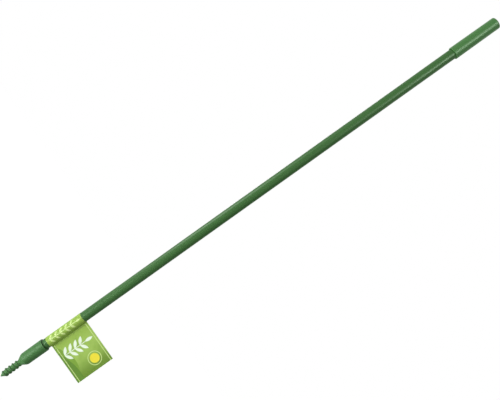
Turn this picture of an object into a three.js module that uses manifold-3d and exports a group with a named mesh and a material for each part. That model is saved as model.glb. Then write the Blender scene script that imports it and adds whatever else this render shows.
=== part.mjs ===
// A plant stake: a plastic-jacketed steel tube with a screw tip below and a threaded coupling above,
// so that stakes can be screwed together, and a paper label wrapped round the tube near the tip.
// Millimetres, +Z up the stake. The origin is the point of the tip, and the label's flag points to +X.

import * as THREE from "three";
import { mergeVertices } from "three/addons/utils/BufferGeometryUtils.js";
import Module from "manifold-3d";

const wasm = await Module();
wasm.setup();

// Tube
const TUBE_DIAMETER = 16;
const TUBE_SHOWING = 764.5;
const JACKET_WALL = 0.6;
const STEEL_WALL = 0.5;
const BOND_GAP = 0.05;

// Screw at the lower end
const POINT_LENGTH = 7;
const POINT_RADIUS = 0.8;
const SCREW_LENGTH = 30;
const SCREW_ROOT_RADIUS = 4.75;
const THREAD_DEPTH = 1.15;
const THREAD_PITCH = 6.3;
const THREAD_FOOT = 3.2;
const THREAD_CREST = 0.9;
const THREAD_BELOW_SCREW = 1.6;
const THREAD_ABOVE_SCREW = 1.6;
const THREAD_START_ANGLE = THREE.MathUtils.degToRad(55);
const THREAD_RUN_IN = 0.45;
const THREAD_RUN_OUT = 0.7;
const THREAD_SUNK = 0.7;

// Nose and collar of the tip
const NOSE_LENGTH = 9.5;
const SHOULDER_FILLET = 10;
const COLLAR_WALL = 1.6;
const COLLAR_DRAFT = 0.25;
const COLLAR_LENGTH = 37;
const COLLAR_FLOOR = 6;

// Coupling sleeve at the upper end
const SLEEVE_WALL = 1.6;
const SLEEVE_DRAFT = 0.4;
const SLEEVE_TUBE_SOCKET = 35;
const SLEEVE_WEB = 2;
const SLEEVE_TOP_FILLET = 1;
const MOUTH_STEP = 1.2;
const MOUTH_WALL = 1.9;
const THREAD_CLEARANCE = 0.3;
const POINT_ROOM = 2;

// Fits and edges that the tip and the sleeve share
const SOCKET_CLEARANCE = 0.1;
const SEAT_GAP = 0.3;
const LEAD_IN = 0.6;
const RIM_FILLET = 0.5;

// Label
const LABEL_ABOVE_COLLAR = 7;
const LABEL_WIDTH = 65;
const FLAG_LENGTH = 66.6;
const LABEL_LEAF = 0.2;
const LABEL_CLEARANCE = 0.1;
const LABEL_FOLD_RADIUS = 1.5;
const LABEL_PINCH = 0.8;
const LABEL_HINGE_GAP = 0.5;

// Finishes
const STEEL_FINISH = { color: 0x9a9ea0, roughness: 0.4, metalness: 0.9 };
const JACKET_FINISH = { color: 0x466a3f, roughness: 0.4, metalness: 0 };
const TIP_FINISH = { color: 0x5c8a59, roughness: 0.5, metalness: 0 };
const SLEEVE_FINISH = { color: 0x507b4d, roughness: 0.4, metalness: 0 };
const LABEL_FINISH = { color: 0x95b94f, roughness: 0.45, metalness: 0 };

// Fineness of the round surfaces
const SIDES = 48;
const FILLET_STEPS = 4;
const THREAD_STEPS_PER_TURN = 32;
const LABEL_ARC_STEPS = 20;

// Radii that follow from the tube and the thread. The sleeve's wall clears both of its sockets.
const jacketRadius = TUBE_DIAMETER / 2;
const jacketBore = jacketRadius - JACKET_WALL;
const steelRadius = jacketBore - BOND_GAP;
const steelBore = steelRadius - STEEL_WALL;
const socketRadius = jacketRadius + SOCKET_CLEARANCE;
const collarRadius = socketRadius + COLLAR_WALL;
const rimRadius = collarRadius + COLLAR_DRAFT;
const threadSocketRadius = SCREW_ROOT_RADIUS + THREAD_DEPTH + THREAD_CLEARANCE;
const mouthRadius = threadSocketRadius + MOUTH_STEP;
const sleeveTopRadius = Math.max(socketRadius + SLEEVE_WALL - SLEEVE_DRAFT, mouthRadius + MOUTH_WALL);
const sleeveRadius = sleeveTopRadius + SLEEVE_DRAFT;

// Heights up the stake
const screwBottom = POINT_LENGTH;
const noseBottom = screwBottom + SCREW_LENGTH;
const collarBottom = noseBottom + NOSE_LENGTH;
const collarTop = collarBottom + COLLAR_LENGTH;
const tipSocketFloor = collarBottom + COLLAR_FLOOR;
const sleeveBottom = collarTop + TUBE_SHOWING;
const sleeveTubeStop = sleeveBottom + SLEEVE_TUBE_SOCKET;
const threadSocketFloor = sleeveTubeStop + SLEEVE_WEB;
const tubeBottom = tipSocketFloor + SEAT_GAP;
const tubeTop = sleeveTubeStop - SEAT_GAP;
const labelBottom = collarTop + LABEL_ABOVE_COLLAR;

// The nose of the next stake's tip seats in the sleeve's countersunk mouth, which sets the sleeve's length.
const noseSlope = (collarRadius - SCREW_ROOT_RADIUS) / NOSE_LENGTH;
const mouthDepth = MOUTH_STEP / noseSlope;
const noseInMouth = (mouthRadius - SCREW_ROOT_RADIUS) / noseSlope;
const sleeveTop = threadSocketFloor + POINT_ROOM + noseBottom + noseInMouth;

// Helpers

function named(name, geometry, finish) {
  const mesh = new THREE.Mesh(geometry, new THREE.MeshStandardMaterial(finish));
  mesh.name = name;
  return mesh;
}

// Turns a profile of [radius, height] points about the Z axis.
function revolve(profile) {
  const points = profile.map(([radius, height]) => new THREE.Vector2(radius, height));
  return new THREE.LatheGeometry(points, SIDES).rotateX(Math.PI / 2);
}

// A ring-shaped profile closes on itself.
function revolveRing(profile) {
  return revolve([...profile, profile[0]]);
}

// The points that round the corner between three points of a profile, for a fillet of one radius.
function rounded(before, corner, after, radius) {
  const at = new THREE.Vector2(...corner);
  const toBefore = new THREE.Vector2(...before).sub(at).normalize();
  const toAfter = new THREE.Vector2(...after).sub(at).normalize();
  const halfAngle = Math.acos(toBefore.dot(toAfter)) / 2;
  const toCentre = toBefore.clone().add(toAfter).normalize();
  const centre = at.clone().addScaledVector(toCentre, radius / Math.sin(halfAngle));
  const tangent = radius / Math.tan(halfAngle);
  const first = at.clone().addScaledVector(toBefore, tangent).sub(centre);
  const last = at.clone().addScaledVector(toAfter, tangent).sub(centre);
  const swing = last.angle() - first.angle();
  const arc = Math.atan2(Math.sin(swing), Math.cos(swing));
  const points = [];
  for (let step = 0; step <= FILLET_STEPS; step += 1) {
    const spoke = first.clone().rotateAround(new THREE.Vector2(), (arc * step) / FILLET_STEPS);
    points.push(centre.clone().add(spoke).toArray());
  }
  return points;
}

function solidOf(geometry) {
  const bare = geometry.clone();
  bare.deleteAttribute("normal");
  bare.deleteAttribute("uv");
  const merged = mergeVertices(bare);
  const corners = merged.index.array;
  const triangles = [];
  for (let start = 0; start < corners.length; start += 3) {
    const [a, b, c] = corners.slice(start, start + 3);
    if (a !== b && b !== c && c !== a) triangles.push(a, b, c);
  }
  const mesh = new wasm.Mesh({
    numProp: 3,
    vertProperties: new Float32Array(merged.attributes.position.array),
    triVerts: new Uint32Array(triangles),
  });
  return new wasm.Manifold(mesh);
}

function geometryOf(solid) {
  const mesh = solid.getMesh();
  const geometry = new THREE.BufferGeometry();
  geometry.setAttribute("position", new THREE.BufferAttribute(mesh.vertProperties, mesh.numProp));
  geometry.setIndex(new THREE.BufferAttribute(mesh.triVerts, 1));
  geometry.computeVertexNormals();
  return geometry;
}

// Tube and jacket

function steelTube() {
  const profile = [
    [steelBore, tubeBottom],
    [steelRadius, tubeBottom],
    [steelRadius, tubeTop],
    [steelBore, tubeTop],
  ];
  return named("steel_tube", revolveRing(profile), STEEL_FINISH);
}

function plasticJacket() {
  const profile = [
    [jacketBore, tubeBottom],
    [jacketRadius, tubeBottom],
    [jacketRadius, tubeTop],
    [jacketBore, tubeTop],
  ];
  return named("plastic_jacket", revolveRing(profile), JACKET_FINISH);
}

// Screw tip

// The tip without its thread, from the point up round the outside and down into the tube's socket.
function tipBody() {
  const shoulder = rounded(
    [SCREW_ROOT_RADIUS, noseBottom],
    [collarRadius, collarBottom],
    [rimRadius, collarTop],
    SHOULDER_FILLET,
  );
  const rim = rounded(
    [collarRadius, collarBottom],
    [rimRadius, collarTop],
    [socketRadius, collarTop],
    RIM_FILLET,
  );
  return revolve([
    [0, 0],
    [POINT_RADIUS, 0],
    [SCREW_ROOT_RADIUS, screwBottom],
    [SCREW_ROOT_RADIUS, noseBottom],
    ...shoulder,
    ...rim,
    [socketRadius + LEAD_IN, collarTop],
    [socketRadius, collarTop - LEAD_IN],
    [socketRadius, tipSocketFloor],
    [0, tipSocketFloor],
  ]);
}

// The radius of the tip under the thread: point, plain screw, then the start of the nose.
function radiusUnderThread(height) {
  if (height < screwBottom) {
    return THREE.MathUtils.mapLinear(height, 0, screwBottom, POINT_RADIUS, SCREW_ROOT_RADIUS);
  }
  return SCREW_ROOT_RADIUS + Math.max(0, height - noseBottom) * noseSlope;
}

// A right-hand ridge wound up the screw, which rises out of the point and sinks into the nose.
// Its flanks run on below the surface under it, so that the two join cleanly.
function threadRidge() {
  const flankSlope = (THREAD_FOOT - THREAD_CREST) / THREAD_DEPTH;
  const sunkFoot = THREAD_FOOT + flankSlope * THREAD_SUNK;
  const threadStart = screwBottom - THREAD_BELOW_SCREW;
  const turns = (noseBottom + THREAD_ABOVE_SCREW - threadStart) / THREAD_PITCH;
  const steps = Math.ceil(turns * THREAD_STEPS_PER_TURN);
  const rings = [];
  for (let step = 0; step <= steps; step += 1) {
    const turn = (turns * step) / steps;
    const angle = THREAD_START_ANGLE + turn * 2 * Math.PI;
    const middle = threadStart + turn * THREAD_PITCH;
    const share = Math.min(1, turn / THREAD_RUN_IN, (turns - turn) / THREAD_RUN_OUT);
    const rise = THREE.MathUtils.lerp(-THREAD_SUNK / 2, THREAD_DEPTH, share);
    const section = [
      [-THREAD_SUNK, middle - sunkFoot / 2],
      [rise, middle - THREAD_CREST / 2],
      [rise, middle + THREAD_CREST / 2],
      [-THREAD_SUNK, middle + sunkFoot / 2],
    ];
    rings.push(section.map(([above, height]) => {
      const radius = radiusUnderThread(height) + above;
      return [radius * Math.cos(angle), radius * Math.sin(angle), height];
    }));
  }
  return sweep(rings);
}

// Joins rings of points into one closed tube with flat ends.
function sweep(rings) {
  const around = rings[0].length;
  const index = [];
  for (let ring = 0; ring + 1 < rings.length; ring += 1) {
    for (let side = 0; side < around; side += 1) {
      const a = ring * around + side;
      const b = ring * around + ((side + 1) % around);
      index.push(a, a + around, b, b, a + around, b + around);
    }
  }
  const last = (rings.length - 1) * around;
  for (let side = 1; side + 1 < around; side += 1) {
    index.push(0, side, side + 1);
    index.push(last, last + side + 1, last + side);
  }
  const geometry = new THREE.BufferGeometry();
  geometry.setAttribute("position", new THREE.Float32BufferAttribute(rings.flat(2), 3));
  geometry.setIndex(index);
  return geometry;
}

function screwTip() {
  const geometry = geometryOf(solidOf(tipBody()).add(solidOf(threadRidge())));
  return named("screw_tip", geometry, TIP_FINISH);
}

// Coupling sleeve

// From the web's axis down round the tube's socket, up the outside and back down the screw's socket.
function couplingSleeve() {
  const rim = rounded(
    [socketRadius, sleeveBottom],
    [sleeveRadius, sleeveBottom],
    [sleeveTopRadius, sleeveTop],
    RIM_FILLET,
  );
  const top = rounded(
    [sleeveRadius, sleeveBottom],
    [sleeveTopRadius, sleeveTop],
    [mouthRadius, sleeveTop],
    SLEEVE_TOP_FILLET,
  );
  const geometry = revolve([
    [0, sleeveTubeStop],
    [socketRadius, sleeveTubeStop],
    [socketRadius, sleeveBottom + LEAD_IN],
    [socketRadius + LEAD_IN, sleeveBottom],
    ...rim,
    ...top,
    [mouthRadius, sleeveTop],
    [threadSocketRadius, sleeveTop - mouthDepth],
    [threadSocketRadius, threadSocketFloor],
    [0, threadSocketFloor],
  ]);
  return named("coupling_sleeve", geometry, SLEEVE_FINISH);
}

// Label

const loopRadius = jacketRadius + LABEL_CLEARANCE + LABEL_LEAF / 2;
const foldY = LABEL_LEAF / 2 + LABEL_FOLD_RADIUS;
const foldX = Math.sqrt((loopRadius + LABEL_FOLD_RADIUS) ** 2 - foldY ** 2);
const foldAngle = Math.atan2(foldY, foldX);
const wrapEnd = foldX + LABEL_PINCH;

// One face of the sheet, from one leaf's root round the tube to the other's. Side is 1 outside, -1 inside.
function drawFace(path, side) {
  const foldRadius = LABEL_FOLD_RADIUS - (side * LABEL_LEAF) / 2;
  const wrapRadius = loopRadius + (side * LABEL_LEAF) / 2;
  path.absarc(foldX, foldY, foldRadius, 1.5 * Math.PI, Math.PI + foldAngle, true);
  path.absarc(0, 0, wrapRadius, foldAngle, 2 * Math.PI - foldAngle, false);
  path.absarc(foldX, -foldY, foldRadius, Math.PI - foldAngle, Math.PI / 2, true);
}

function extrudeLabel(shape) {
  const geometry = new THREE.ExtrudeGeometry(shape, {
    depth: LABEL_WIDTH,
    bevelEnabled: false,
    curveSegments: LABEL_ARC_STEPS,
  });
  return geometry.translate(0, 0, labelBottom);
}

// The sheet where it goes round the tube, up to just past where its two leaves meet.
function labelWrap() {
  const outline = new THREE.Shape();
  outline.moveTo(wrapEnd, LABEL_LEAF);
  drawFace(outline, 1);
  outline.lineTo(wrapEnd, -LABEL_LEAF);
  const inside = new THREE.Path();
  drawFace(inside, -1);
  outline.holes.push(inside);
  return named("label_wrap", extrudeLabel(outline), LABEL_FINISH);
}

// The two leaves, stuck together as a flag that bends about the middle of the gap at its root.
function labelFlag() {
  const root = wrapEnd + LABEL_HINGE_GAP;
  const end = root + FLAG_LENGTH;
  const outline = new THREE.Shape();
  outline.moveTo(root, -LABEL_LEAF);
  outline.lineTo(end, -LABEL_LEAF);
  outline.lineTo(end, LABEL_LEAF);
  outline.lineTo(root, LABEL_LEAF);
  outline.closePath();
  return named("label_flag", extrudeLabel(outline), LABEL_FINISH);
}

const plantStake = new THREE.Group();
plantStake.add(steelTube(), plasticJacket(), screwTip(), couplingSleeve(), labelWrap(), labelFlag());

export default plantStake;
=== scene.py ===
"""The looks of a plant stake: a plastic-jacketed tube, a moulded screw tip, a threaded coupling sleeve
and a printed paper label, wrapped round the tube, whose flag stands out from a fold at its root. Metres, +Z
up the stake, the flag towards +X."""

import math

import bmesh
import bpy
from mathutils import Color, Matrix, Vector

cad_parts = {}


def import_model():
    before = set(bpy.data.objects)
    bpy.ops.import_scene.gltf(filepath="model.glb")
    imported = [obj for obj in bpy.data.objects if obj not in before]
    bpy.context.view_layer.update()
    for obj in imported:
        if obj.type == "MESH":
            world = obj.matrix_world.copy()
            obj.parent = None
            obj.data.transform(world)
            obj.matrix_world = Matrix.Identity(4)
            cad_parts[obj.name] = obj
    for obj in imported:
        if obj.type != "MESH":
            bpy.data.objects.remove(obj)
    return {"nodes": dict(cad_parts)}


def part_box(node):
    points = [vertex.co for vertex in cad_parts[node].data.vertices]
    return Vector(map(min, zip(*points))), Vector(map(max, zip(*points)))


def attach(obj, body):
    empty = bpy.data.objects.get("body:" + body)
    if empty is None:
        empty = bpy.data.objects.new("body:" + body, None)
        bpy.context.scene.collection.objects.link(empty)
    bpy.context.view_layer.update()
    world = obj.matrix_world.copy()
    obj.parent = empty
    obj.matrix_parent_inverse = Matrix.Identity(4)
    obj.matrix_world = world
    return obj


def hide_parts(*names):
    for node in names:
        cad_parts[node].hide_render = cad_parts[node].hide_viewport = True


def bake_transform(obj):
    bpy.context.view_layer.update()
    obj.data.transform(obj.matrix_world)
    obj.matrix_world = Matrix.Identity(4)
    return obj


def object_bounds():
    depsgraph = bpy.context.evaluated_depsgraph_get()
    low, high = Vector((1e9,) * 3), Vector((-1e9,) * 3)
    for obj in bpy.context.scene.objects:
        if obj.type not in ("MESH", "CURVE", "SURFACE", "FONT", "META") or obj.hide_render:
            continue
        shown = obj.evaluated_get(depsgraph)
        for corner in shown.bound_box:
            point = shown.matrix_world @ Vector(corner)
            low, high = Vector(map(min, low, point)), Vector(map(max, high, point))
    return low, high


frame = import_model()
cad_low, cad_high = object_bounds()

MM = 0.001

# What the frame gives
tube_low, tube_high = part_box("plastic_jacket")
tip_low, tip_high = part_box("screw_tip")
sleeve_low, sleeve_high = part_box("coupling_sleeve")
wrap_low, wrap_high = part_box("label_wrap")
flag_low, flag_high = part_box("label_flag")

# Walls, fits and edges of the rigid pieces
JACKET_WALL = 0.6 * MM
SOCKET_CLEARANCE = 0.1 * MM
SEAT_GAP = 0.3 * MM
LEAD_IN = 0.9 * MM
RIM_FILLET = 0.55 * MM
WALL = 1.6 * MM

# Screw tip
POINT_LENGTH = 7 * MM
POINT_ROUNDING = 0.9 * MM
SCREW_LENGTH = 28.8 * MM
SCREW_ROOT_RADIUS = 4.4 * MM
NOSE_LENGTH = 9.5 * MM
SHOULDER_FILLET = 6 * MM
COLLAR_DRAFT = 0.25 * MM

# Thread, which the screw and the sleeve share, with the screw's run-in and run-out in turns
THREAD_DEPTH = 1.65 * MM
THREAD_PITCH = 6.3 * MM
THREAD_FOOT = 5 * MM
THREAD_CREST = 0.6 * MM
THREAD_CLEARANCE = 0.15 * MM
THREAD_OVERRUN = 1.6 * MM
THREAD_START_ANGLE = math.radians(110)
THREAD_RUN_IN = 0.45
THREAD_RUN_OUT = 0.7

# Sleeve
SLEEVE_DRAFT = 0.4 * MM
SLEEVE_TOP_FILLET = 1 * MM
SLEEVE_WEB = 2 * MM
MOUTH_STEP = 1.2 * MM

# Parting lines that the mould leaves on both sides of the moulded pieces
PARTING_ANGLES = (0, math.pi)
PARTING_HEIGHT = 0.06 * MM
PARTING_WIDTH = 0.5 * MM

# Label
LABEL_LEAF = 0.2 * MM
LABEL_GLUE_LINE = 0.02 * MM
LABEL_CLEARANCE = 0.1 * MM
LABEL_FOLD_RADIUS = 1.5 * MM
LABEL_CURL = 0.7 * MM
LABEL_CURL_LOW = 0.4
LABEL_BEND_LENGTH = 6 * MM

# Fineness of the meshes, with the places across a parting line as shares of its width
SIDES = 144
FILLET_STEPS = 8
THREAD_RING = 0.2 * MM
PLAIN_RING = 2 * MM
TUBE_RING = 20 * MM
LABEL_STEP = 1.2 * MM
LABEL_FINE_STEP = 0.3 * MM
LABEL_ROWS = 26
CREASE_ANGLE = math.radians(35)
PARTING_STEPS = (-1, -0.5, 0, 0.5, 1)
PARTING_CLEAR = 1 / 3

# Sizes that follow
tube_radius = tube_high.x
socket_radius = tube_radius + SOCKET_CLEARANCE
collar_radius = socket_radius + WALL
rim_radius = collar_radius + COLLAR_DRAFT
thread_crest_radius = SCREW_ROOT_RADIUS + THREAD_DEPTH
thread_socket_radius = thread_crest_radius + THREAD_CLEARANCE
thread_land_radius = SCREW_ROOT_RADIUS + THREAD_CLEARANCE
mouth_radius = thread_socket_radius + MOUTH_STEP
sleeve_radius = socket_radius + WALL
sleeve_top_radius = sleeve_radius - SLEEVE_DRAFT

screw_bottom = tip_low.z + POINT_LENGTH
nose_bottom = screw_bottom + SCREW_LENGTH
collar_bottom = nose_bottom + NOSE_LENGTH
collar_top = tip_high.z
tip_socket_floor = tube_low.z - SEAT_GAP
tube_stop = tube_high.z + SEAT_GAP
thread_socket_floor = tube_stop + SLEEVE_WEB
nose_slope = (collar_radius - SCREW_ROOT_RADIUS) / NOSE_LENGTH
mouth_depth = MOUTH_STEP / nose_slope
thread_start = screw_bottom - THREAD_OVERRUN
thread_turns = (nose_bottom + THREAD_OVERRUN - thread_start) / THREAD_PITCH

loop_radius = tube_radius + LABEL_CLEARANCE + LABEL_LEAF / 2
fold_y = LABEL_LEAF / 2 + LABEL_FOLD_RADIUS
fold_x = math.sqrt((loop_radius + LABEL_FOLD_RADIUS) ** 2 - fold_y ** 2)
fold_angle = math.atan2(fold_y, fold_x)
label_width = wrap_high.z - wrap_low.z
half_loop = loop_radius * (math.pi - fold_angle) + LABEL_FOLD_RADIUS * (math.pi / 2 - fold_angle)

# Photograph: its frame, the stake's slope in it and where the camera stood
PHOTO_WIDTH = 500
PIXEL_SIZE = 1.527 * MM
SENSOR_WIDTH = 36
STAKE_SLOPE = math.radians(35.5)
CAMERA_DISTANCE = 0.96
CAMERA_HEIGHT = 0.4663
CAMERA_SIDE = 0.002

# Light: a lamp that the tube mirrors has a height on the tube and a turn from the camera's side towards +X
WHITE = (1, 1, 1, 1)
WORLD_FILL = 0.55
WORLD_DARK_SIDE = (0.5, 0, 0.85)
FLOOR_SIZE = 30
FLOOR_DROP = 3
FLOOR_COLOUR = (0.5, 0.5, 0.5)
FLOOR_LIFT = 0.9
CARD_SIDE = 0.7
CARD_DEPTHS = (-0.35, 0.9)
CARD_HEIGHTS = (-0.9, 0.8)
CARD_GREY = 0.4
LAMP_AIM = (0, 0, 0.4)
LAMP_UP = (0, 0, 1)
KEY_PLACE = (-1.9, -2.1, -1.95)
KEY_SIZE = (1.5, 1.5)
KEY_POWER = 73
BACK_PLACE = (-0.4, 2.4, 0.9)
BACK_SIZE = (1.2, 1.2)
BACK_POWER = 18
SIDE_PLACE = (1.9, 1.5, 0.3)
SIDE_SIZE = (1, 1)
SIDE_POWER = 24
STRIP_DISTANCE = 1.2
STRIP_WIDTH = 0.24
LEFT_STRIP_LOW = (0.34, math.radians(-94))
LEFT_STRIP_HIGH = (0.51, math.radians(-60))
LEFT_STRIP_POWER = 9
UPPER_STRIP_LOW = (0.79, math.radians(32))
UPPER_STRIP_HIGH = (0.97, math.radians(5))
UPPER_STRIP_POWER = 16
FRONT_BOX_LOW = (0.0, math.radians(-20))
FRONT_BOX_HIGH = (0.95, math.radians(-20))
FRONT_BOX_WIDTH = 0.8
FRONT_BOX_POWER = 2
LOWER_DISTANCE = 0.9
LOWER_BOX_LOW = (-0.5, math.radians(-40))
LOWER_BOX_HIGH = (0.12, math.radians(-40))
LOWER_BOX_WIDTH = 0.65
LOWER_BOX_POWER = 9
LOWER_STRIP_LOW = (-0.02, math.radians(-25))
LOWER_STRIP_HIGH = (0.08, math.radians(-25))
LOWER_STRIP_WIDTH = 0.25
LOWER_STRIP_POWER = 4

# Finishes: colours as they look on screen, sizes of spots and lines, stretches along the stake,
# and the shares of a noise between which wear sets in
SCREEN_WHITE = 255
NOISE_DETAIL = 3.0
EVEN = (1, 1, 1)
DRAWN = (1, 1, 0.02)
JACKET_DARK = (48, 92, 40)
JACKET_LIGHT = (53, 97, 44)
JACKET_WORN = (57, 100, 48)
JACKET_ROUGHNESS = (0.36, 0.44)
JACKET_GLOSS = 0.32
JACKET_STREAK = 1.6 * MM
JACKET_PATCH = 60 * MM
JACKET_WEAR = (0.45, 0.8)
PEEL_STRETCH = (1, 1, 0.4)
PEEL_SIZE = 1.2 * MM
PEEL_HEIGHT = 0.02 * MM
TIP_DARK = (44, 94, 38)
TIP_LIGHT = (49, 99, 42)
TIP_WORN = (59, 109, 53)
TIP_ROUGHNESS = (0.48, 0.54)
TIP_GLOSS = 0.5
SLEEVE_DARK = (65, 115, 58)
SLEEVE_LIGHT = (69, 119, 62)
SLEEVE_WORN = (76, 124, 70)
SLEEVE_ROUGHNESS = (0.38, 0.42)
SLEEVE_GLOSS = 0.32
PLASTIC_TINT = (0.8, 1.0, 0.78, 1)
MOTTLE_SIZE = 9 * MM
GRAIN_SIZE = 0.5 * MM
GRAIN_HEIGHT = 0.005 * MM
SCUFF_STRETCH = (1, 1, 0.25)
SCUFF_SIZE = 2.5 * MM
SCUFF_DETAIL = 6.0
SCUFF_WEAR = (0.66, 0.8)
STEEL_DARK = (148, 152, 154)
STEEL_LIGHT = (172, 176, 178)
STEEL_ROUGHNESS = (0.3, 0.45)
STEEL_LINE = 0.4 * MM
STEEL_LINE_HEIGHT = 0.01 * MM
CORE_DARK = (226, 228, 216)
CORE_LIGHT = (238, 239, 230)
CORE_ROUGHNESS = (0.7, 0.85)
CORE_FIBRE = 0.3 * MM
PAPER_ROUGHNESS = (0.34, 0.42)
PAPER_GLOSS = 0.28
PAPER_FIBRE = 3 * MM
PAPER_FIBRE_HEIGHT = 0.01 * MM

# Label's print: places are (length from the flag's root, height from the lower edge), fades are lengths,
# a hill is its skyline's level, swell and wave, and the sheet's middle is a share of its length
SHEET_MIDDLE = 0.5
PRINT_EDGE = 0.25 * MM
GROUND_WRAP = (139, 173, 68)
GROUND_ROOT = (142, 176, 70)
GROUND_MIDDLE = (149, 182, 82)
GROUND_FAR = (98, 132, 36)
GROUND_SHADE = (112, 148, 46)
ROOT_FADE = (-8 * MM, 3 * MM)
MIDDLE_FADE = (2 * MM, 24 * MM)
FAR_FADE = (34 * MM, 66 * MM)
CLOUD_SIZE = 22 * MM
CLOUD_DETAIL = 2.0
CLOUD_FADE = (0.5, 0.75)
CLOUD_SHARE = 0.5
BACK_HILL_COLOUR = (114, 152, 48)
FRONT_HILL_COLOUR = (90, 130, 38)
BACK_HILL = (1 * MM, 16 * MM, 150 * MM)
FRONT_HILL = (-5 * MM, 18 * MM, 230 * MM)
PRINT_WHITE = (222, 236, 214)
PRINT_PALE = (194, 218, 136)
PRINT_YELLOW = (226, 212, 52)
SPRIG_FOOT = (22 * MM, 7.5 * MM)
SPRIG_PAIRS = 4
SPRIG_SPACING = 9.4 * MM
SPRIG_LEAF = (14 * MM, 5 * MM)
GARLAND_LENGTH = -15 * MM
GARLAND_SPACING = 9.4 * MM
GARLAND_LEAF = (9 * MM, 3.2 * MM)
LEAF_SLOPE = math.radians(38)
STEM_WIDTH = 1 * MM
SUN_CENTRE = (51 * MM, 43 * MM)
SUN_RADIUS = 7.5 * MM
SUN_RING_RADIUS = 10 * MM
RULE_WIDTH = 1 * MM
RULE_INSET = 3 * MM
PANEL_LENGTHS = (8 * MM, 60 * MM)
PANEL_RULES = 6
PANEL_RULE_WIDTH = 2 * RULE_WIDTH / 3


# Meshes


def add_piece(name, points, faces, materials):
    """A smooth-shaded mesh with its faces pointing out, creased at its sharp edges."""
    mesh = bpy.data.meshes.new(name)
    mesh.from_pydata(points, [], faces)
    for material in materials:
        mesh.materials.append(material)
    shaped = bmesh.new()
    shaped.from_mesh(mesh)
    bmesh.ops.recalc_face_normals(shaped, faces=shaped.faces)
    shaped.to_mesh(mesh)
    shaped.free()
    mesh.shade_smooth()
    mesh.set_sharp_from_angle(angle=CREASE_ANGLE)
    piece = bpy.data.objects.new(name, mesh)
    bpy.context.scene.collection.objects.link(piece)
    return piece


def arc(centre, radius, first, last, steps):
    """Points from one angle to another, the ends included."""
    angles = [first + (last - first) * step / steps for step in range(steps + 1)]
    return [(centre[0] + radius * math.cos(a), centre[1] + radius * math.sin(a)) for a in angles]


def rounded(before, corner, after, radius):
    """The points that round a profile's corner with a fillet of one radius."""
    at = Vector(corner)
    to_before = (Vector(before) - at).normalized()
    to_after = (Vector(after) - at).normalized()
    half_angle = to_before.angle(to_after) / 2
    centre = at + (to_before + to_after).normalized() * (radius / math.sin(half_angle))
    first = at + to_before * (radius / math.tan(half_angle)) - centre
    last = at + to_after * (radius / math.tan(half_angle)) - centre
    start = math.atan2(first.y, first.x)
    swing = math.remainder(math.atan2(last.y, last.x) - start, 2 * math.pi)
    return arc(centre, radius, start, start + swing, FILLET_STEPS)


def refined(profile, longest):
    """The profile with its long segments divided."""
    points = [profile[0]]
    for start, end in zip(profile, profile[1:]):
        pieces = max(1, math.ceil(math.dist(start, end) / longest))
        for piece in range(1, pieces + 1):
            share = piece / pieces
            points.append(tuple(a + (b - a) * share for a, b in zip(start, end)))
    return points


def even_angles():
    """One angle for each side of a round piece."""
    return [2 * math.pi * side / SIDES for side in range(SIDES)]


def angles_round(parting_radius):
    """Even angles round the axis, with close ones added at the parting lines."""
    spread = PARTING_WIDTH / parting_radius
    close = [seam + spread * step for seam in PARTING_ANGLES for step in PARTING_STEPS]
    apart = spread * PARTING_CLEAR
    clear = [a for a in even_angles() if all(abs(math.remainder(a - c, 2 * math.pi)) > apart for c in close)]
    return sorted(a % (2 * math.pi) for a in close + clear)


def turned(profile, angles, moved=None):
    """Points and faces of a profile of (radius, height) turned about Z, with poles where it meets the axis.
    A profile off the axis closes on itself. moved(angle, radius, height) gives a point's own radius."""
    points = []
    rings = []
    for radius, height in profile:
        first = len(points)
        if radius == 0:
            points.append((0, 0, height))
            rings.append([first] * len(angles))
            continue
        for angle in angles:
            out = moved(angle, radius, height) if moved else radius
            points.append((out * math.cos(angle), out * math.sin(angle), height))
        rings.append(list(range(first, first + len(angles))))
    if profile[0][0] > 0:
        rings.append(rings[0])
    faces = []
    for lower, upper in zip(rings, rings[1:]):
        for side in range(len(angles)):
            after = (side + 1) % len(angles)
            corners = [lower[side], lower[after], upper[after], upper[side]]
            faces.append(list(dict.fromkeys(corners)))
    return points, faces


def smooth_step(share):
    """0 up to a share of 0, 1 from a share of 1, and an even swing between them."""
    held = min(1, max(0, share))
    return held * held * (3 - 2 * held)


# Thread and parting lines


def thread_height(angle, height):
    """How far the right-hand ridge stands out at a place on the screw, as a share of its depth."""
    part_turn = (angle - THREAD_START_ANGLE) / (2 * math.pi)
    above_start = (height - thread_start) / THREAD_PITCH
    turn = part_turn + round(above_start - part_turn)
    run = min(turn / THREAD_RUN_IN, (thread_turns - turn) / THREAD_RUN_OUT)
    away = abs(above_start - turn) * THREAD_PITCH
    flank = (THREAD_FOOT / 2 - away) / ((THREAD_FOOT - THREAD_CREST) / 2)
    return smooth_step(run) * smooth_step(flank)


def groove_depth(angle, height):
    """The same thread cut into the sleeve's socket, where the next stake's screw turns, from end to end."""
    part_turn = angle / (2 * math.pi)
    turn = (height - thread_socket_floor) / THREAD_PITCH - part_turn
    away = abs(math.remainder(turn, 1)) * THREAD_PITCH
    return smooth_step((THREAD_FOOT / 2 + THREAD_CLEARANCE - away) / ((THREAD_FOOT - THREAD_CREST) / 2))


def parting_rise(angle, radius):
    """The fine line of flash where the mould's halves met."""
    nearest = min(abs(math.remainder(angle - seam, 2 * math.pi)) for seam in PARTING_ANGLES)
    return PARTING_HEIGHT * smooth_step(1 - nearest * radius / PARTING_WIDTH)


# Pieces


def jacket_skin(material):
    """The plastic tube that is drawn over the steel one."""
    bore = tube_radius - JACKET_WALL
    profile = refined([(tube_radius, tube_low.z), (tube_radius, tube_high.z)], TUBE_RING)
    profile += [(bore, tube_high.z), (bore, tube_low.z)]
    points, faces = turned(profile, even_angles())
    piece = add_piece("jacket_skin", points, faces, [material])
    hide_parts("plastic_jacket")
    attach(piece, "stake")


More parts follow.
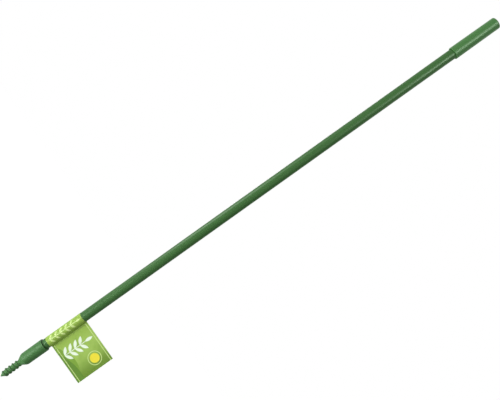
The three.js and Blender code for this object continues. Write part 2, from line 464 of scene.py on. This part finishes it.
def tip_profile():
    """From the rounded point up the outside and down into the tube's socket."""
    cone_slope = math.atan2(SCREW_ROOT_RADIUS - POINT_ROUNDING, POINT_LENGTH - POINT_ROUNDING)
    point = arc((0, tip_low.z + POINT_ROUNDING), POINT_ROUNDING, -math.pi / 2, -cone_slope, FILLET_STEPS)
    nose_foot = (SCREW_ROOT_RADIUS, nose_bottom)
    collar_foot = (collar_radius, collar_bottom)
    collar_rim = (rim_radius, collar_top)
    shoulder = rounded(nose_foot, collar_foot, collar_rim, SHOULDER_FILLET)
    rim = rounded(collar_foot, collar_rim, (socket_radius, collar_top), RIM_FILLET)
    threaded = point[1:] + [(SCREW_ROOT_RADIUS, screw_bottom), nose_foot, *shoulder]
    lead_in = [(socket_radius + LEAD_IN, collar_top), (socket_radius, collar_top - LEAD_IN)]
    plain = [shoulder[-1], *rim, *lead_in]
    socket = [(socket_radius, tip_socket_floor), (0, tip_socket_floor)]
    return [(0, tip_low.z), *refined(threaded, THREAD_RING), *refined(plain, PLAIN_RING)[1:], *socket]


def tip_radius(angle, radius, height):
    """A point's radius on the tip, with the thread on the screw and a parting line on each side."""
    if height < collar_bottom:
        ridge = THREAD_DEPTH * thread_height(angle, height)
        above_point = smooth_step((height - tip_low.z) / POINT_LENGTH)
        return radius + max(ridge, parting_rise(angle, radius) * above_point)
    on_outside = collar_radius - WALL / 2 < radius and height < collar_top - RIM_FILLET
    return min(radius + parting_rise(angle, radius), tip_high.x) if on_outside else radius


def tip_skin(material):
    """The moulded tip, from its point to the collar round the tube."""
    points, faces = turned(tip_profile(), angles_round(collar_radius), tip_radius)
    piece = add_piece("tip_skin", points, faces, [material])
    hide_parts("screw_tip")
    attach(piece, "stake")


def sleeve_profile():
    """From the web's axis down round the tube's socket, up the outside and down the screw's socket."""
    bottom = sleeve_low.z
    top = sleeve_high.z
    outer_foot = (sleeve_radius, bottom)
    outer_top = (sleeve_top_radius, top)
    rim = rounded((socket_radius, bottom), outer_foot, outer_top, RIM_FILLET)
    crown = rounded(outer_foot, outer_top, (mouth_radius, top), SLEEVE_TOP_FILLET)
    socket = [(0, tube_stop), (socket_radius, tube_stop), (socket_radius, bottom + LEAD_IN)]
    outside = refined([(socket_radius + LEAD_IN, bottom), *rim, *crown], PLAIN_RING)
    mouth = [(mouth_radius, top), (thread_socket_radius, top - mouth_depth)]
    thread = refined([mouth[-1], (thread_socket_radius, thread_socket_floor)], THREAD_RING)
    return [*socket, *outside, *mouth, *thread[1:], (0, thread_socket_floor)]


def sleeve_radius_at(angle, radius, height):
    """A point's radius on the sleeve, with the thread in its socket and a parting line on each side."""
    in_thread = radius <= thread_socket_radius and height > thread_socket_floor
    if in_thread:
        land = thread_socket_radius - thread_land_radius
        from_end = min(height - thread_socket_floor, sleeve_high.z - mouth_depth - height)
        run = smooth_step(from_end / (THREAD_PITCH / 2))
        return radius - land * run * (1 - groove_depth(angle, height))
    between_rims = sleeve_low.z + RIM_FILLET < height < sleeve_high.z - SLEEVE_TOP_FILLET
    on_outside = between_rims and radius > sleeve_top_radius - WALL / 2
    return radius + parting_rise(angle, radius) if on_outside else radius


def sleeve_skin(material):
    """The coupling sleeve on the tube's upper end."""
    points, faces = turned(sleeve_profile(), angles_round(sleeve_radius), sleeve_radius_at)
    piece = add_piece("sleeve_skin", points, faces, [material])
    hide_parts("coupling_sleeve")
    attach(piece, "stake")


# Label: one sheet, from the end of its back leaf round the tube to the end of its front leaf


def label_line():
    """The middle of the sheet, seen from above, as points close enough for its bends."""
    half_leaf = LABEL_LEAF / 2
    bend_end = flag_low.x + LABEL_BEND_LENGTH
    straight = refined([(flag_high.x, half_leaf), (bend_end, half_leaf)], LABEL_STEP)
    root = refined([(bend_end, half_leaf), (fold_x, half_leaf)], LABEL_FINE_STEP)
    back_fold = arc((fold_x, fold_y), LABEL_FOLD_RADIUS, 1.5 * math.pi, math.pi + fold_angle, FILLET_STEPS)
    loop = arc((0, 0), loop_radius, fold_angle, math.pi, SIDES // 2)
    back_half = straight + root[1:] + back_fold[1:] + loop[1:]
    front_half = [(x, -y) for x, y in reversed(back_half[:-1])]
    return back_half + front_half


def lengths_along(line):
    """How far each point of a line is from its start."""
    lengths = [0]
    for start, end in zip(line, line[1:]):
        lengths.append(lengths[-1] + math.dist(start, end))
    return lengths


def beside(line, distance):
    """The line moved sideways, to its right as it runs."""
    moved = []
    for index, (x, y) in enumerate(line):
        before = line[max(index - 1, 0)]
        after = line[min(index + 1, len(line) - 1)]
        share = distance / math.dist(before, after)
        moved.append((x + (after[1] - before[1]) * share, y - (after[0] - before[0]) * share))
    return moved


def curl(x, share_up):
    """How far the flag stands out of its plane: most at its far upper corner, a share of it at the lower."""
    share_out = max(0, x - flag_low.x) / (flag_high.x - flag_low.x)
    return -LABEL_CURL * share_out ** 2 * (LABEL_CURL_LOW + (1 - LABEL_CURL_LOW) * share_up)


def label_points(line):
    """The sheet's points, the outside first and row by row, and the place of each on the flat sheet."""
    lengths = lengths_along(line)
    outside = beside(line, LABEL_LEAF / 2)
    inside = beside(line, LABEL_GLUE_LINE / 2 - LABEL_LEAF / 2)
    points = []
    flat = []
    for face in (outside, inside):
        for row in range(LABEL_ROWS + 1):
            share = row / LABEL_ROWS
            points += [(x, y + curl(x, share), wrap_low.z + label_width * share) for x, y in face]
            flat += [(length / lengths[-1], share) for length in lengths]
    return points, flat


def label_faces(across):
    """The printed faces of a sheet so many points across, and the bare ones of its inside and cut edges."""
    layer = across * (LABEL_ROWS + 1)
    last_row = across * LABEL_ROWS
    printed = []
    bare = []
    for row in range(LABEL_ROWS):
        for column in range(across - 1):
            a = row * across + column
            printed.append((a, a + 1, a + 1 + across, a + across))
            bare.append((layer + a, layer + a + across, layer + a + across + 1, layer + a + 1))
    for column in range(across - 1):
        top = last_row + column
        bare.append((column, layer + column, layer + column + 1, column + 1))
        bare.append((top, top + 1, layer + top + 1, layer + top))
    for row in range(LABEL_ROWS):
        for end in (0, across - 1):
            low = row * across + end
            bare.append((low, low + across, layer + low + across, layer + low))
    return printed, bare


def label_sheet(print_material, core_material):
    """The whole label: one sheet with a fold between the wrapped part and the flag."""
    line = label_line()
    points, flat = label_points(line)
    printed, bare = label_faces(len(line))
    piece = add_piece("label_sheet", points, printed + bare, [print_material, core_material])
    mesh = piece.data
    for polygon in mesh.polygons:
        polygon.material_index = 0 if polygon.index < len(printed) else 1
    flat_map = mesh.uv_layers.new(name="Flat")
    for loop in mesh.loops:
        flat_map.data[loop.index].uv = flat[loop.vertex_index]
    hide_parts("label_wrap", "label_flag")
    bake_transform(piece)


# Materials


class Nodes:
    """A material's node tree, with short calls for the nodes that the finishes use."""

    def __init__(self, name):
        self.material = bpy.data.materials.new(name)
        self.material.use_nodes = True
        self.tree = self.material.node_tree
        self.surface = self.tree.nodes["Principled BSDF"]

    def add(self, kind, **settings):
        node = self.tree.nodes.new(kind)
        for setting, value in settings.items():
            setattr(node, setting, value)
        return node

    def give(self, value, socket):
        """Sets a socket to a number or colour, or links another node's output to it."""
        if isinstance(value, bpy.types.NodeSocket):
            self.tree.links.new(value, socket)
        else:
            socket.default_value = value

    def math(self, operation, a, b=0.0):
        node = self.add("ShaderNodeMath", operation=operation)
        self.give(a, node.inputs[0])
        self.give(b, node.inputs[1])
        return node.outputs[0]

    def scaled(self, value, factor):
        return self.math("MULTIPLY", value, factor)

    def mix(self, share, a, b):
        node = self.add("ShaderNodeMix", data_type="RGBA")
        self.give(share, node.inputs["Factor"])
        self.give(a, node.inputs["A"])
        self.give(b, node.inputs["B"])
        return node.outputs["Result"]

    def place(self, stretch=EVEN):
        """Coordinates on the piece, in metres, stretched along its axes."""
        where = self.add("ShaderNodeTexCoord")
        node = self.add("ShaderNodeVectorMath", operation="MULTIPLY")
        self.give(where.outputs["Object"], node.inputs[0])
        self.give(stretch, node.inputs[1])
        return node.outputs[0]

    def noise(self, place, size, detail=NOISE_DETAIL):
        """Soft noise from 0 to 1 whose spots are about this many metres across."""
        node = self.add("ShaderNodeTexNoise")
        self.give(place, node.inputs["Vector"])
        self.give(1 / size, node.inputs["Scale"])
        self.give(detail, node.inputs["Detail"])
        return node.outputs["Fac"]

    def between(self, value, low, high):
        """0 below low, 1 above high, and smooth between them."""
        node = self.add("ShaderNodeMapRange", interpolation_type="SMOOTHSTEP")
        self.give(value, node.inputs["Value"])
        self.give(low, node.inputs["From Min"])
        self.give(high, node.inputs["From Max"])
        return node.outputs["Result"]

    def range(self, value, low, high):
        """A value from 0 to 1 spread between two numbers."""
        node = self.add("ShaderNodeMapRange")
        self.give(value, node.inputs["Value"])
        self.give(low, node.inputs["To Min"])
        self.give(high, node.inputs["To Max"])
        return node.outputs["Result"]

    def bump(self, height, distance):
        """Lets a value from 0 to 1 look like relief of this many metres."""
        node = self.add("ShaderNodeBump")
        self.give(height, node.inputs["Height"])
        self.give(distance, node.inputs["Distance"])
        self.give(node.outputs["Normal"], self.surface.inputs["Normal"])

    def finish(self, **values):
        """Sets the surface's own sockets, named with underscores for spaces."""
        for name, value in values.items():
            self.give(value, self.surface.inputs[name.replace("_", " ")])
        return self.material


def srgb(red, green, blue):
    """A colour as it looks on screen, from 0 to 255, as the linear one that a shader takes."""
    shown = Color((red / SCREEN_WHITE, green / SCREEN_WHITE, blue / SCREEN_WHITE))
    return (*shown.from_srgb_to_scene_linear(), 1)


def jacket_plastic():
    """Extruded jacket: streaks along the tube, paler worn patches and a faint orange peel."""
    nodes = Nodes("jacket_plastic")
    streaks = nodes.noise(nodes.place(DRAWN), JACKET_STREAK)
    patches = nodes.noise(nodes.place(), JACKET_PATCH)
    tone = nodes.mix(streaks, srgb(*JACKET_DARK), srgb(*JACKET_LIGHT))
    worn = nodes.between(patches, *JACKET_WEAR)
    nodes.bump(nodes.noise(nodes.place(PEEL_STRETCH), PEEL_SIZE), PEEL_HEIGHT)
    return nodes.finish(
        Base_Color=nodes.mix(worn, tone, srgb(*JACKET_WORN)),
        Roughness=nodes.range(streaks, *JACKET_ROUGHNESS),
        Specular_IOR_Level=JACKET_GLOSS,
        Specular_Tint=PLASTIC_TINT,
    )


def moulded_plastic(name, dark, light, worn, roughness, gloss):
    """Moulded plastic: mottled colour, a fine matt grain and pale scuffs."""
    nodes = Nodes(name)
    mottle = nodes.noise(nodes.place(), MOTTLE_SIZE)
    grain = nodes.noise(nodes.place(), GRAIN_SIZE)
    rubbed = nodes.noise(nodes.place(SCUFF_STRETCH), SCUFF_SIZE, SCUFF_DETAIL)
    scuffs = nodes.between(rubbed, *SCUFF_WEAR)
    tone = nodes.mix(mottle, srgb(*dark), srgb(*light))
    nodes.bump(grain, GRAIN_HEIGHT)
    return nodes.finish(
        Base_Color=nodes.mix(scuffs, tone, srgb(*worn)),
        Roughness=nodes.range(mottle, *roughness),
        Specular_IOR_Level=gloss,
        Specular_Tint=PLASTIC_TINT,
    )


def tip_plastic():
    colours = (TIP_DARK, TIP_LIGHT, TIP_WORN)
    return moulded_plastic("tip_plastic", *colours, TIP_ROUGHNESS, TIP_GLOSS)


def sleeve_plastic():
    colours = (SLEEVE_DARK, SLEEVE_LIGHT, SLEEVE_WORN)
    return moulded_plastic("sleeve_plastic", *colours, SLEEVE_ROUGHNESS, SLEEVE_GLOSS)


def steel():
    """Drawn steel, brushed along the tube."""
    nodes = Nodes("drawn_steel")
    lines = nodes.noise(nodes.place(DRAWN), STEEL_LINE)
    nodes.bump(lines, STEEL_LINE_HEIGHT)
    return nodes.finish(
        Base_Color=nodes.mix(lines, srgb(*STEEL_DARK), srgb(*STEEL_LIGHT)),
        Roughness=nodes.range(lines, *STEEL_ROUGHNESS),
        Metallic=1.0,
    )


def paper_core():
    """The label's cut edges and its glued inside: bare white paper."""
    nodes = Nodes("paper_core")
    fibres = nodes.noise(nodes.place(), CORE_FIBRE)
    return nodes.finish(
        Base_Color=nodes.mix(fibres, srgb(*CORE_DARK), srgb(*CORE_LIGHT)),
        Roughness=nodes.range(fibres, *CORE_ROUGHNESS),
    )


def within(nodes, value, low, high):
    """1 between two values and 0 outside them, with the print's soft edge."""
    above = nodes.between(value, low - PRINT_EDGE, low + PRINT_EDGE)
    below = nodes.between(value, high + PRINT_EDGE, high - PRINT_EDGE)
    return nodes.math("MULTIPLY", above, below)


def leaf(nodes, along, across, length, width):
    """1 on a pointed leaf that lies along its own line from 0 to its length."""
    share = nodes.math("DIVIDE", along, length)
    rest = nodes.math("SUBTRACT", 1.0, share)
    half_width = nodes.math("MULTIPLY", nodes.math("MULTIPLY", share, rest), 2 * width)
    outside = nodes.math("SUBTRACT", nodes.math("ABSOLUTE", across), half_width)
    return nodes.between(outside, PRINT_EDGE, -PRINT_EDGE)


def sprig(nodes, aside, up, pairs, spacing, size):
    """A stem with pairs of leaves and one leaf on top."""
    side = nodes.math("ABSOLUTE", aside)
    pair = nodes.math("FLOOR", nodes.math("DIVIDE", up, spacing))
    above = nodes.math("SUBTRACT", up, nodes.math("MULTIPLY", pair, spacing))
    run = math.cos(LEAF_SLOPE)
    rise = math.sin(LEAF_SLOPE)
    along = nodes.math("ADD", nodes.scaled(side, run), nodes.scaled(above, rise))
    across = nodes.math("SUBTRACT", nodes.scaled(above, run), nodes.scaled(side, rise))
    stem = within(nodes, aside, -STEM_WIDTH / 2, STEM_WIDTH / 2)
    grown = within(nodes, up, 0, pairs * spacing)
    sides = nodes.math("MULTIPLY", nodes.math("MAXIMUM", leaf(nodes, along, across, *size), stem), grown)
    top = leaf(nodes, nodes.math("SUBTRACT", up, pairs * spacing), aside, *size)
    return nodes.math("MAXIMUM", sides, top)


def hill(nodes, length, height, level, swell, wave):
    """1 below a wavy skyline."""
    waves = nodes.math("SINE", nodes.scaled(length, 2 * math.pi / wave))
    skyline = nodes.math("ADD", level, nodes.scaled(waves, swell))
    return nodes.between(nodes.math("SUBTRACT", height, skyline), PRINT_EDGE, -PRINT_EDGE)


def distance_from(nodes, length, height, centre):
    """How far a place on the sheet is from a centre."""
    aside = nodes.math("SUBTRACT", length, centre[0])
    above = nodes.math("SUBTRACT", height, centre[1])
    squares = nodes.math("ADD", nodes.math("POWER", aside, 2.0), nodes.math("POWER", above, 2.0))
    return nodes.math("SQRT", squares)


def printed_ground(nodes, length):
    """A soft green ground that darkens towards the flag's far edge, with faint clouds."""
    ground = nodes.mix(nodes.between(length, *ROOT_FADE), srgb(*GROUND_WRAP), srgb(*GROUND_ROOT))
    ground = nodes.mix(nodes.between(length, *MIDDLE_FADE), ground, srgb(*GROUND_MIDDLE))
    ground = nodes.mix(nodes.between(length, *FAR_FADE), ground, srgb(*GROUND_FAR))
    clouds = nodes.between(nodes.noise(nodes.place(), CLOUD_SIZE, CLOUD_DETAIL), *CLOUD_FADE)
    return nodes.mix(nodes.scaled(clouds, CLOUD_SHARE), ground, srgb(*GROUND_SHADE))


def flag_sprig(nodes, length, height):
    """The large sprig on the flag."""
    aside = nodes.math("SUBTRACT", length, SPRIG_FOOT[0])
    up = nodes.math("SUBTRACT", height, SPRIG_FOOT[1])
    return sprig(nodes, aside, up, SPRIG_PAIRS, SPRIG_SPACING, SPRIG_LEAF)


def garland(nodes, length, height):
    """A sprig that fills the height of the wrapped part."""
    aside = nodes.math("SUBTRACT", length, GARLAND_LENGTH)
    up = nodes.math("SUBTRACT", height, 2 * RULE_INSET)
    pairs = math.floor((label_width - 2 * RULE_INSET) / GARLAND_SPACING) - 1
    return sprig(nodes, aside, up, pairs, GARLAND_SPACING, GARLAND_LEAF)


def front_print(nodes, length, height, ground):
    """Hills, a white sprig, a yellow sun with a pale ring and a garland on the wrapped part."""
    picture = nodes.mix(hill(nodes, length, height, *BACK_HILL), ground, srgb(*BACK_HILL_COLOUR))
    picture = nodes.mix(hill(nodes, length, height, *FRONT_HILL), picture, srgb(*FRONT_HILL_COLOUR))
    picture = nodes.mix(flag_sprig(nodes, length, height), picture, srgb(*PRINT_WHITE))
    picture = nodes.mix(garland(nodes, length, height), picture, srgb(*PRINT_PALE))
    from_sun = distance_from(nodes, length, height, SUN_CENTRE)
    picture = nodes.mix(within(nodes, from_sun, -SUN_RADIUS, SUN_RADIUS), picture, srgb(*PRINT_YELLOW))
    ring = within(nodes, from_sun, SUN_RING_RADIUS, SUN_RING_RADIUS + RULE_WIDTH)
    return nodes.mix(ring, picture, srgb(*PRINT_PALE))


def back_print(nodes, length, height, ground):
    """A pale panel with plain rules to write on."""
    inside = nodes.math(
        "MULTIPLY",
        within(nodes, length, *PANEL_LENGTHS),
        within(nodes, height, 2 * RULE_INSET, label_width - 2 * RULE_INSET),
    )
    panel = nodes.mix(inside, ground, srgb(*PRINT_PALE))
    spacing = (label_width - 4 * RULE_INSET) / PANEL_RULES
    place = nodes.math("PINGPONG", nodes.math("SUBTRACT", height, 2 * RULE_INSET + spacing / 2), spacing / 2)
    line = within(nodes, place, -PANEL_RULE_WIDTH / 2, PANEL_RULE_WIDTH / 2)
    return nodes.mix(nodes.math("MULTIPLY", line, inside), panel, srgb(*FRONT_HILL_COLOUR))


def label_print():
    """A plain garden print on glossy paper: a picture on the front half and a panel on the back half."""
    nodes = Nodes("label_print")
    flat = nodes.add("ShaderNodeUVMap", uv_map="Flat")
    split = nodes.add("ShaderNodeSeparateXYZ")
    nodes.give(flat.outputs["UV"], split.inputs[0])
    sheet_length = lengths_along(label_line())[-1]
    from_middle = nodes.scaled(nodes.math("SUBTRACT", split.outputs[0], SHEET_MIDDLE), sheet_length)
    length = nodes.math("SUBTRACT", nodes.math("ABSOLUTE", from_middle), half_loop)
    height = nodes.scaled(split.outputs[1], label_width)
    ground = printed_ground(nodes, length)
    front = nodes.between(from_middle, -PRINT_EDGE, PRINT_EDGE)
    back_picture = back_print(nodes, length, height, ground)
    both = nodes.mix(front, back_picture, front_print(nodes, length, height, ground))
    from_centre = nodes.math("ABSOLUTE", nodes.math("SUBTRACT", height, label_width / 2))
    from_edge = nodes.math("SUBTRACT", label_width / 2, from_centre)
    border = within(nodes, from_edge, RULE_INSET, RULE_INSET + RULE_WIDTH)
    rule = nodes.math("MULTIPLY", border, nodes.between(length, -PRINT_EDGE, PRINT_EDGE))
    fibres = nodes.noise(nodes.place(), PAPER_FIBRE)
    nodes.bump(fibres, PAPER_FIBRE_HEIGHT)
    return nodes.finish(
        Base_Color=nodes.mix(rule, both, srgb(*PRINT_PALE)),
        Roughness=nodes.range(fibres, *PAPER_ROUGHNESS),
        Specular_IOR_Level=PAPER_GLOSS,
    )


# Stage


def seen_apart(tree, lighting, seen_shader):
    """Mixes two shaders: one for the light that falls on things, one for rays that see the background."""
    path = tree.nodes.new("ShaderNodeLightPath")
    seen = path.outputs["Is Camera Ray"]
    for ray in ("Is Glossy Ray", "Is Transmission Ray"):
        either = tree.nodes.new("ShaderNodeMath")
        either.operation = "MAXIMUM"
        tree.links.new(seen, either.inputs[0])
        tree.links.new(path.outputs[ray], either.inputs[1])
        seen = either.outputs[0]
    mixed = tree.nodes.new("ShaderNodeMixShader")
    tree.links.new(seen, mixed.inputs[0])
    tree.links.new(lighting, mixed.inputs[1])
    tree.links.new(seen_shader, mixed.inputs[2])
    return mixed.outputs[0]


def world():
    """A fill that fades upwards and towards the shaded side, and shows as plain white."""
    made = bpy.data.worlds.new("studio")
    made.use_nodes = True
    tree = made.node_tree
    fill = tree.nodes["Background"]
    fill.inputs["Color"].default_value = WHITE
    direction = tree.nodes.new("ShaderNodeTexCoord")
    towards_dark = tree.nodes.new("ShaderNodeVectorMath")
    towards_dark.operation = "DOT_PRODUCT"
    tree.links.new(direction.outputs["Generated"], towards_dark.inputs[0])
    towards_dark.inputs[1].default_value = WORLD_DARK_SIDE
    strength = tree.nodes.new("ShaderNodeMapRange")
    tree.links.new(towards_dark.outputs["Value"], strength.inputs["Value"])
    strength.inputs["From Min"].default_value = -1
    strength.inputs["To Min"].default_value = 2 * WORLD_FILL
    strength.inputs["To Max"].default_value = 0
    tree.links.new(strength.outputs["Result"], fill.inputs["Strength"])
    white = tree.nodes.new("ShaderNodeBackground")
    white.inputs["Color"].default_value = WHITE
    output = tree.nodes["World Output"]
    tree.links.new(seen_apart(tree, fill.outputs[0], white.outputs[0]), output.inputs["Surface"])
    # Met only by stray rays, because aimed ones would speckle the gloss
    made.cycles.sampling_method = "NONE"
    bpy.context.scene.world = made


def stage_sheet(name, corners, material):
    """A flat sheet beside or below the object. Its own light doesn't fall on things."""
    mesh = bpy.data.meshes.new(name)
    mesh.from_pydata(corners, [], [(0, 1, 2, 3)])
    mesh.materials.append(material)
    # Met only by stray rays, as the world's light is
    material.cycles.emission_sampling = "NONE"
    piece = bpy.data.objects.new(name, mesh)
    piece.visible_diffuse = False
    bpy.context.scene.collection.objects.link(piece)
    return piece


def floor():
    """A pale floor well below the held stake: its own light lifts it to white, and shadows stay."""
    nodes = Nodes("floor")
    tree = nodes.tree
    plain = nodes.add("ShaderNodeBsdfDiffuse")
    plain.inputs["Color"].default_value = (*FLOOR_COLOUR, 1)
    lift = nodes.add("ShaderNodeEmission")
    lift.inputs["Strength"].default_value = FLOOR_LIFT
    lifted = nodes.add("ShaderNodeAddShader")
    tree.links.new(plain.outputs[0], lifted.inputs[0])
    tree.links.new(lift.outputs[0], lifted.inputs[1])
    output = tree.nodes["Material Output"]
    tree.links.new(seen_apart(tree, plain.outputs[0], lifted.outputs[0]), output.inputs["Surface"])
    tree.nodes.remove(nodes.surface)
    half = FLOOR_SIZE / 2
    level = cad_low.z - FLOOR_DROP
    corners = [(-half, -half, level), (half, -half, level), (half, half, level), (-half, half, level)]
    stage_sheet("floor", corners, nodes.material)


def grey_card():
    """A grey card beside the stake, away from the key, that shows only in the gloss."""
    nodes = Nodes("grey_card")
    grey = nodes.add("ShaderNodeEmission")
    grey.inputs["Strength"].default_value = CARD_GREY
    nodes.give(grey.outputs[0], nodes.tree.nodes["Material Output"].inputs["Surface"])
    nodes.tree.nodes.remove(nodes.surface)
    near, far = CARD_DEPTHS
    low, high = CARD_HEIGHTS
    outline = [(near, low), (far, low), (far, high), (near, high)]
    corners = [(CARD_SIDE, depth, height) for depth, height in outline]
    card = stage_sheet("grey_card", corners, nodes.material)
    card.visible_camera = False
    card.visible_shadow = False


def lamp(name, place, aim, up, size, power, shades=True, gleams=True):
    """A soft box that faces a point. It can light the surfaces, show in their gloss, or both."""
    light = bpy.data.lights.new(name, "AREA")
    light.shape = "RECTANGLE"
    light.size, light.size_y = size
    light.energy = power
    piece = bpy.data.objects.new(name, light)
    away = (Vector(place) - Vector(aim)).normalized()
    side = Vector(up).cross(away).normalized()
    turn = Matrix((side, away.cross(side), away)).transposed().to_4x4()
    piece.matrix_world = Matrix.Translation(place) @ turn
    piece.visible_camera = False
    piece.visible_diffuse = shades
    piece.visible_glossy = gleams
    bpy.context.scene.collection.objects.link(piece)


def mirrored_place(height, turn, distance):
    """Where a lamp stands that the tube mirrors at a height, turned from the camera's side towards +X."""
    level = height + (height - CAMERA_HEIGHT) * distance / CAMERA_DISTANCE
    return Vector((distance * math.sin(turn), -distance * math.cos(turn), level))


def mirrored_lamp(name, low, high, distance, width, power, shades):
    """A long soft box that the tube mirrors between two places, each a height and a turn."""
    bottom = mirrored_place(*low, distance)
    top = mirrored_place(*high, distance)
    middle = (bottom + top) / 2
    size = (width, (top - bottom).length)
    lamp(name, middle, (0, 0, middle.z), top - bottom, size, power, shades)


def lamps():
    """The key, two lamps for the far sides, and the soft boxes that the tube mirrors."""
    lamp("key", KEY_PLACE, LAMP_AIM, LAMP_UP, KEY_SIZE, KEY_POWER, gleams=False)
    lamp("back", BACK_PLACE, LAMP_AIM, LAMP_UP, BACK_SIZE, BACK_POWER)
    lamp("side", SIDE_PLACE, LAMP_AIM, LAMP_UP, SIDE_SIZE, SIDE_POWER, gleams=False)
    strip = (STRIP_DISTANCE, STRIP_WIDTH)
    mirrored_lamp("left_strip", LEFT_STRIP_LOW, LEFT_STRIP_HIGH, *strip, LEFT_STRIP_POWER, shades=False)
    mirrored_lamp("upper_strip", UPPER_STRIP_LOW, UPPER_STRIP_HIGH, *strip, UPPER_STRIP_POWER, shades=False)
    front_box = (STRIP_DISTANCE, FRONT_BOX_WIDTH, FRONT_BOX_POWER)
    mirrored_lamp("front_box", FRONT_BOX_LOW, FRONT_BOX_HIGH, *front_box, shades=False)
    lower_box = (LOWER_DISTANCE, LOWER_BOX_WIDTH, LOWER_BOX_POWER)
    mirrored_lamp("lower_box", LOWER_BOX_LOW, LOWER_BOX_HIGH, *lower_box, shades=True)
    lower_strip = (LOWER_DISTANCE, LOWER_STRIP_WIDTH, LOWER_STRIP_POWER)
    mirrored_lamp("lower_strip", LOWER_STRIP_LOW, LOWER_STRIP_HIGH, *lower_strip, shades=False)


def camera():
    """The photograph's view: square to the stake, rolled so that the stake rises to the right."""
    data = bpy.data.cameras.new("camera")
    data.sensor_width = SENSOR_WIDTH
    data.lens = SENSOR_WIDTH * CAMERA_DISTANCE / (PHOTO_WIDTH * PIXEL_SIZE)
    piece = bpy.data.objects.new("camera", data)
    right = Vector((math.sin(STAKE_SLOPE), 0, math.cos(STAKE_SLOPE)))
    up = Vector((-math.cos(STAKE_SLOPE), 0, math.sin(STAKE_SLOPE)))
    turn = Matrix((right, up, right.cross(up))).transposed().to_4x4()
    piece.matrix_world = Matrix.Translation((CAMERA_SIDE, -CAMERA_DISTANCE, CAMERA_HEIGHT)) @ turn
    bpy.context.scene.collection.objects.link(piece)
    bpy.context.scene.camera = piece


def dress_steel():
    """The steel tube keeps its solid and gets its finish."""
    node = frame["nodes"]["steel_tube"]
    node.data.materials.clear()
    node.data.materials.append(steel())


bpy.context.scene.view_settings.view_transform = "Standard"
camera()
world()
floor()
grey_card()
lamps()
dress_steel()
jacket_skin(jacket_plastic())
tip_skin(tip_plastic())
sleeve_skin(sleeve_plastic())
label_sheet(label_print(), paper_core())
